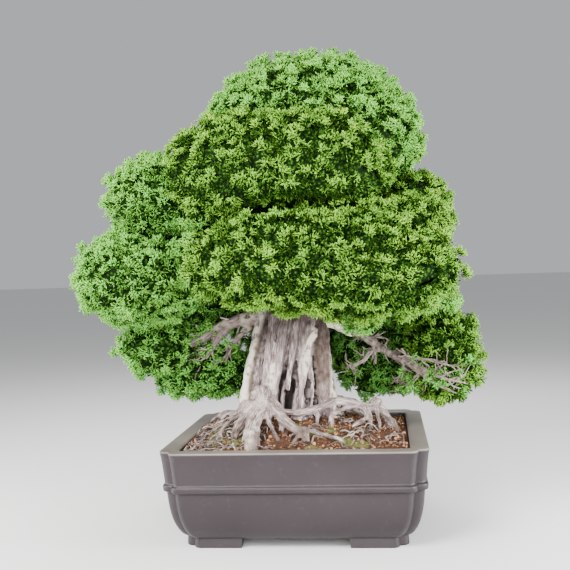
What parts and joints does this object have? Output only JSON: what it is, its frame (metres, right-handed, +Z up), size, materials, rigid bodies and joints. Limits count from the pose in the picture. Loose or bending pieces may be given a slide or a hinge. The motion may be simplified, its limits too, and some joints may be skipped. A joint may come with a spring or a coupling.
{
  "type": "itoigawa juniper bonsai",
  "caption": "Itoigawa juniper bonsai: domed heads of dense foliage on a weathered trunk with surface roots, planted in a square unglazed footed pot.",
  "frame": {"origin": "on the ground, under the middle of the tree's overall width and depth", "axes": "+Z up, -Y towards the front of the tree, +X to the right as seen from the front"},
  "size_m": [0.6724, 0.5514, 0.7878],
  "materials": {
    "stoneware": "unglazed, satin",
    "screen": "matt",
    "soil": "loose granules, matt",
    "wood": "weathered deadwood and thin bark",
    "foliage": "fine scale leaves, soft sheen"
  },
  "bodies": {
    "root": {"pot": "stoneware", "drain_screen_left": "screen", "drain_screen_right": "screen", "soil": "soil", "trunk_and_roots": "wood", "foliage_apex": "foliage", "foliage_upper_front": "foliage", "foliage_front": "foliage", "foliage_upper_left": "foliage", "foliage_left": "foliage", "foliage_left_end": "foliage", "foliage_left_low": "foliage", "foliage_right_end": "foliage", "foliage_right_curtain": "foliage", "foliage_right_back": "foliage", "foliage_right_mid": "foliage", "foliage_back_mid": "foliage", "foliage_back_left": "foliage", "foliage_back_right": "foliage", "foliage_back_low": "foliage"}
  },
  "joints": []
}
